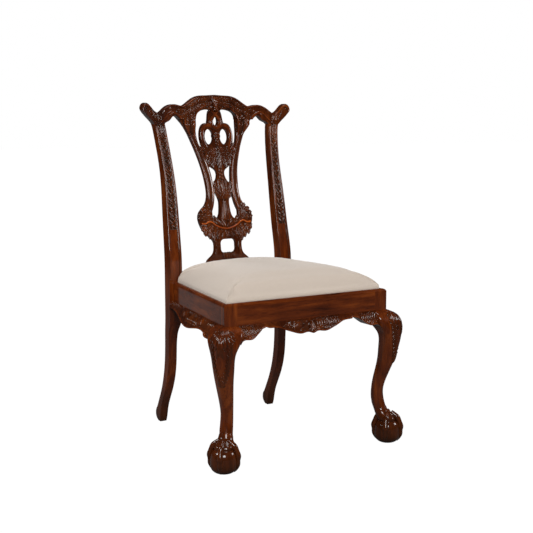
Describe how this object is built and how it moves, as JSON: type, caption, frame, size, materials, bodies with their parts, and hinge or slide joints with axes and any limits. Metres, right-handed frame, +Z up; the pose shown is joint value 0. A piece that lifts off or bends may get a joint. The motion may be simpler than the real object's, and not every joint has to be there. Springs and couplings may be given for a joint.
{
  "type": "side chair",
  "caption": "Carved mahogany dining chair with a pierced interlaced splat, carved crest, drop-in upholstered seat and cabriole legs on ball-and-claw feet",
  "frame": {"origin": "on the floor, under the middle of the chair's bounding box", "axes": "+X to the sitter's left, the sitter facing -Y, +Z up"},
  "size_m": [0.634, 0.6027, 1.027],
  "materials": {
    "mahogany": "polished",
    "secondary_wood": "planed",
    "fixings": "dull",
    "webbing": "woven",
    "hessian": "woven",
    "stuffing": "matted",
    "seat_fabric": "woven",
    "cambric": "woven"
  },
  "bodies": {
    "chair_frame": {"back_splat": "mahogany", "corner_block_screws": "fixings", "crest_dowels": "secondary_wood", "crest_rail": "mahogany", "front_apron": "mahogany", "front_corner_block_left": "secondary_wood", "front_corner_block_right": "secondary_wood", "front_knee_bracket_left": "mahogany", "front_knee_bracket_right": "mahogany", "front_leg_left": "mahogany", "front_leg_right": "mahogany", "front_seat_rail": "mahogany", "rear_corner_block_left": "secondary_wood", "rear_corner_block_right": "secondary_wood", "rear_leg_left": "mahogany", "rear_leg_right": "mahogany", "rear_seat_rail": "mahogany", "side_apron_left": "mahogany", "side_apron_right": "mahogany", "side_knee_bracket_left": "mahogany", "side_knee_bracket_right": "mahogany", "side_rail_left": "mahogany", "side_rail_right": "mahogany", "splat_shoe": "mahogany"},
    "slip_seat": {"cover_tacks": "fixings", "dust_cover": "cambric", "seat_cover": "seat_fabric", "seat_frame_back": "secondary_wood", "seat_frame_front": "secondary_wood", "seat_frame_side_left": "secondary_wood", "seat_frame_side_right": "secondary_wood", "seat_hessian": "hessian", "seat_pad": "stuffing", "seat_webbing": "webbing"}
  },
  "joints": [
    {"name": "seat_lift", "type": "slide", "parent": "chair_frame", "child": "slip_seat", "axis": [0, 0, 1], "range_m": [0, 0.1]}
  ]
}
